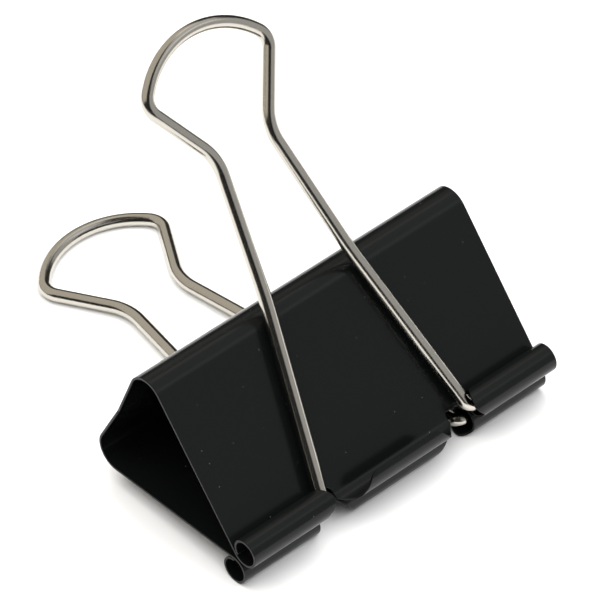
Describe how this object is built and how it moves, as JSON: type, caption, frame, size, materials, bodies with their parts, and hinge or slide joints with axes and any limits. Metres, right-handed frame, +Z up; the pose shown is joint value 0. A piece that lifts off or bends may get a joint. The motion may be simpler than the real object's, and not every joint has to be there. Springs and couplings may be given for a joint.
{
  "type": "binder clip",
  "caption": "Large black spring-steel binder clip with bright wire handles that fold back flat or swing forward over the lips.",
  "frame": {"origin": "middle of the footprint, on the surface that the clip lies on", "axes": "+X along the lips, from the left end to the right end; +Y from the lips towards the spine and the ends of the folded handles; +Z up"},
  "size_m": [0.0508, 0.0628, 0.0504],
  "materials": {
    "enamel": "gloss black enamel on spring steel",
    "nickel": "bright nickel-plated steel wire"
  },
  "bodies": {
    "spring_back": {"spring_back": "enamel"},
    "front_jaw": {"front_jaw": "enamel"},
    "rear_jaw": {"rear_jaw": "enamel"},
    "front_handle": {"front_handle": "nickel"},
    "rear_handle": {"rear_handle": "nickel"}
  },
  "joints": [
    {"name": "front_jaw_flex", "type": "hinge", "parent": "spring_back", "child": "front_jaw", "pos_m": [0, -0.01139, 0.02208], "axis": [-1, 0, 0], "range_deg": [0, 32], "stiffness_Nm_per_rad": 0.2, "springref_deg": -5.73},
    {"name": "rear_jaw_flex", "type": "hinge", "parent": "spring_back", "child": "rear_jaw", "pos_m": [0, -0.00365, 0.00414], "axis": [1, 0, 0], "range_deg": [0, 32]},
    {"name": "front_handle_turn", "type": "hinge", "parent": "front_jaw", "child": "front_handle", "pos_m": [0, -0.02918, 0.00572], "axis": [1, 0, 0], "range_deg": [0, 154]},
    {"name": "rear_handle_turn", "type": "hinge", "parent": "rear_jaw", "child": "rear_handle", "pos_m": [0, -0.02753, 0.00191], "axis": [-1, 0, 0], "range_deg": [0, 155]}
  ],
  "couplings": [
    {"joint": "rear_jaw_flex", "follows": "front_jaw_flex", "ratio": 1}
  ]
}
